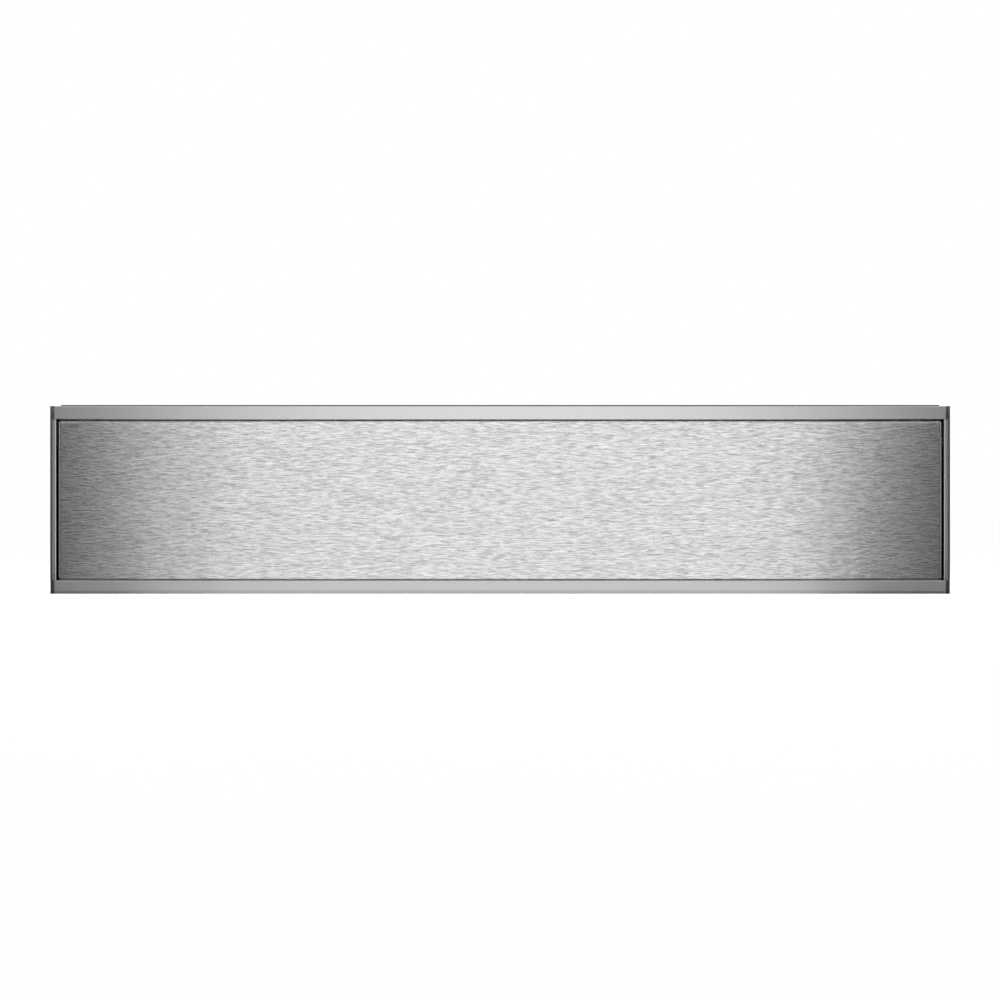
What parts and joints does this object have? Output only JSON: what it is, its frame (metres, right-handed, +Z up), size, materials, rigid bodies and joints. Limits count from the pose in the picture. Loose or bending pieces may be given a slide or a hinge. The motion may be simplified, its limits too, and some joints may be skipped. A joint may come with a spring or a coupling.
{
  "type": "vacuum sealing drawer",
  "caption": "Built-in drawer with a brushed steel front in a steel frame; inside, a vacuum chamber with a hinged glass lid, a lifting sealing bar, a pump and ball runners.",
  "frame": {"origin": "middle of the footprint, on the shelf that the drawer stands on", "axes": "+X to the right, the front faces -Y, +Z up"},
  "size_m": [0.59, 0.545, 0.124],
  "materials": {
    "front_steel": "brushed along the width",
    "satin_rail": "smooth satin",
    "dark_trim": "dark satin",
    "zinc_sheet": "bright zinc-plated steel sheet",
    "deck_steel": "brushed stainless",
    "chamber_steel": "satin drawn stainless",
    "runner_steel": "zinc-plated cold-rolled steel",
    "black_rubber": "matt",
    "silicone": "matt grey silicone",
    "lid_glass": "clear toughened glass with a dark printed border",
    "black_glass": "black glass",
    "black_plastic": "fine moulded grain",
    "grey_plastic": "fine moulded grain",
    "hinge_metal": "satin chrome",
    "bar_metal": "anodised",
    "heating_band": "woven coated tape",
    "cast_metal": "sand-cast",
    "motor_paint": "dark grey enamel",
    "copper_winding": "enamelled wire",
    "board_green": "solder mask",
    "hose_blue": "smooth hose"
  },
  "bodies": {
    "housing": {"base_plate": "zinc_sheet", "left_side_wall": "zinc_sheet", "right_side_wall": "zinc_sheet", "rear_wall": "zinc_sheet", "rear_top_cover": "zinc_sheet", "front_cross_rail": "zinc_sheet", "top_rail": "satin_rail", "bottom_rail": "satin_rail", "left_jamb": "satin_rail", "right_jamb": "satin_rail", "left_side_trim": "dark_trim", "right_side_trim": "dark_trim", "top_seal_strip": "black_rubber", "left_runner_outer": "runner_steel", "right_runner_outer": "runner_steel", "feet": "black_rubber", "cable_gland": "black_plastic", "push_latch_body": "grey_plastic", "housing_screws": "runner_steel"},
    "drawer": {"front_panel": "front_steel", "panel_carrier": "zinc_sheet", "drawer_tray": "zinc_sheet", "left_runner_inner": "runner_steel", "right_runner_inner": "runner_steel", "deck_plate": "deck_steel", "deck_screws": "hinge_metal", "control_glass": "black_glass", "control_board": "board_green", "vacuum_chamber": "chamber_steel", "chamber_seal": "silicone", "suction_filter": "chamber_steel", "lift_cylinders": "bar_metal", "hinge_brackets": "hinge_metal", "hinge_pins": "hinge_metal", "vacuum_port": "black_plastic", "pump_head": "cast_metal", "motor_housing": "motor_paint", "fan_cowl": "motor_paint", "pump_mounts": "black_rubber", "exhaust_filter": "motor_paint", "cooling_fan": "black_plastic", "transformer": "copper_winding", "power_board": "board_green", "valve_block": "cast_metal", "hoses": "hose_blue"},
    "left_middle_member": {"left_runner_middle": "runner_steel"},
    "right_middle_member": {"right_runner_middle": "runner_steel"},
    "left_outer_cage": {"left_outer_cage": "runner_steel"},
    "right_outer_cage": {"right_outer_cage": "runner_steel"},
    "left_inner_cage": {"left_inner_cage": "runner_steel"},
    "right_inner_cage": {"right_inner_cage": "runner_steel"},
    "plunger": {"push_plunger": "black_plastic"},
    "lid": {"lid_glass": "lid_glass", "lid_hinge_arms": "hinge_metal", "counter_strip": "silicone"},
    "sealing_bar": {"sealing_bar": "bar_metal", "heating_strip": "heating_band"},
    "rotor": {"pump_rotor": "runner_steel"},
    "fan_wheel": {"fan_impeller": "black_plastic"},
    "port_cap": {"port_cap": "black_plastic"}
  },
  "joints": [
    {"name": "drawer_slide", "type": "slide", "parent": "housing", "child": "drawer", "axis": [0, -1, 0], "range_m": [-0.003, 0.43]},
    {"name": "left_outer_cage_slide", "type": "slide", "parent": "housing", "child": "left_outer_cage", "axis": [0, -1, 0], "range_m": [-0.00075, 0.1075]},
    {"name": "left_middle_member_slide", "type": "slide", "parent": "housing", "child": "left_middle_member", "axis": [0, -1, 0], "range_m": [-0.0015, 0.215]},
    {"name": "left_inner_cage_slide", "type": "slide", "parent": "housing", "child": "left_inner_cage", "axis": [0, -1, 0], "range_m": [-0.00225, 0.3225]},
    {"name": "right_outer_cage_slide", "type": "slide", "parent": "housing", "child": "right_outer_cage", "axis": [0, -1, 0], "range_m": [-0.00075, 0.1075]},
    {"name": "right_middle_member_slide", "type": "slide", "parent": "housing", "child": "right_middle_member", "axis": [0, -1, 0], "range_m": [-0.0015, 0.215]},
    {"name": "right_inner_cage_slide", "type": "slide", "parent": "housing", "child": "right_inner_cage", "axis": [0, -1, 0], "range_m": [-0.00225, 0.3225]},
    {"name": "plunger_press", "type": "slide", "parent": "housing", "child": "plunger", "axis": [0, 1, 0], "range_m": [0, 0.003], "stiffness_N_per_m": 400, "springref_m": -0.01},
    {"name": "lid_hinge", "type": "hinge", "parent": "drawer", "child": "lid", "pos_m": [0.06, 0.1275, 0.1031], "axis": [-1, 0, 0], "range_deg": [0, 80]},
    {"name": "sealing_bar_lift", "type": "slide", "parent": "drawer", "child": "sealing_bar", "axis": [0, 0, 1], "range_m": [0, 0.0055]},
    {"name": "rotor_spin", "type": "hinge", "parent": "drawer", "child": "rotor", "pos_m": [-0.1962, 0, 0.0528], "axis": [0, 1, 0], "continuous": true},
    {"name": "fan_spin", "type": "hinge", "parent": "drawer", "child": "fan_wheel", "pos_m": [-0.045, 0.22, 0.044], "axis": [0, 1, 0], "continuous": true},
    {"name": "port_cap_hinge", "type": "hinge", "parent": "drawer", "child": "port_cap", "pos_m": [-0.2, -0.1665, 0.098], "axis": [-1, 0, 0], "range_deg": [0, 110]}
  ],
  "couplings": [
    {"joint": "left_outer_cage_slide", "follows": "drawer_slide", "ratio": 0.25},
    {"joint": "left_middle_member_slide", "follows": "drawer_slide", "ratio": 0.5},
    {"joint": "left_inner_cage_slide", "follows": "drawer_slide", "ratio": 0.75},
    {"joint": "right_outer_cage_slide", "follows": "drawer_slide", "ratio": 0.25},
    {"joint": "right_middle_member_slide", "follows": "drawer_slide", "ratio": 0.5},
    {"joint": "right_inner_cage_slide", "follows": "drawer_slide", "ratio": 0.75}
  ]
}
